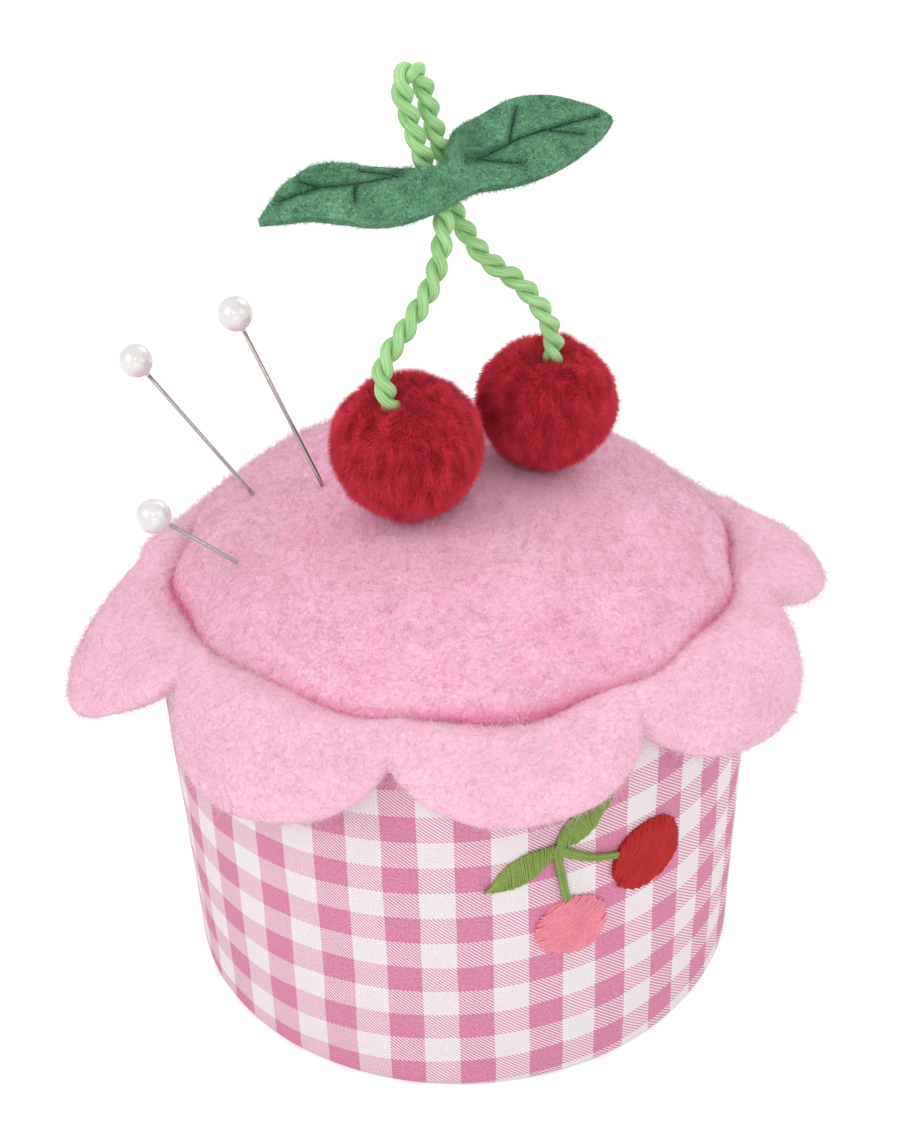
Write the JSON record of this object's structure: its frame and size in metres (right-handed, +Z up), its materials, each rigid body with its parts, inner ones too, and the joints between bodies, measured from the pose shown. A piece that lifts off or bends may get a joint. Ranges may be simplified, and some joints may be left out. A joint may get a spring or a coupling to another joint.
{
  "type": "pin cushion",
  "caption": "Round pin cushion: gingham drum, stuffed felt dome with a scalloped skirt, plush cherries on a corded stem with a felt leaf, and pearl-headed pins that push in and pull out.",
  "frame": {"origin": "middle of the felt disc on the underside, where the cushion rests", "axes": "+Z up through the drum and the dome, -Y towards the front with the embroidery, +X to the right"},
  "size_m": [0.0899, 0.0832, 0.1155],
  "materials": {
    "pink_felt": "matte",
    "gingham": "matte",
    "card": "matte",
    "fibre": "matte",
    "red_plush": "matte",
    "green_cord": "satin",
    "green_felt": "matte",
    "green_floss": "satin",
    "red_floss": "satin",
    "pink_floss": "satin",
    "pink_thread": "satin",
    "steel": "polished",
    "pearl": "gloss"
  },
  "bodies": {
    "cushion": {"base_felt_disc": "pink_felt", "card_base_disc": "card", "card_cup_wall": "card", "gingham_sleeve": "gingham", "fibre_stuffing": "fibre", "felt_dome": "pink_felt", "scalloped_skirt": "pink_felt", "seam_thread": "pink_thread", "cherry_front_cover": "red_plush", "cherry_front_stuffing": "fibre", "cherry_front_gather": "red_floss", "cherry_front_tack": "red_floss", "cherry_rear_cover": "red_plush", "cherry_rear_stuffing": "fibre", "cherry_rear_gather": "red_floss", "cherry_rear_tack": "red_floss", "stem_cord": "green_cord", "leaf_pair": "green_felt", "embroidered_cherry_red": "red_floss", "embroidered_cherry_pink": "pink_floss", "embroidered_leaf_left": "green_floss", "embroidered_leaf_right": "green_floss", "embroidered_stalk_red": "green_floss", "embroidered_stalk_pink": "green_floss"},
    "pin_1": {"pin_1_shaft": "steel", "pin_1_head": "pearl"},
    "pin_2": {"pin_2_shaft": "steel", "pin_2_head": "pearl"},
    "pin_3": {"pin_3_shaft": "steel", "pin_3_head": "pearl"}
  },
  "joints": [
    {"name": "pin_1_slide", "type": "slide", "parent": "cushion", "child": "pin_1", "axis": [-0.5476, 0, 0.8368], "range_m": [-0.0192, 0.0152]},
    {"name": "pin_2_slide", "type": "slide", "parent": "cushion", "child": "pin_2", "axis": [-0.3486, 0, 0.9373], "range_m": [-0.0216, 0.0128]},
    {"name": "pin_3_slide", "type": "slide", "parent": "cushion", "child": "pin_3", "axis": [-0.6829, -0.2445, 0.6884], "range_m": [-0.0096, 0.0248]}
  ]
}
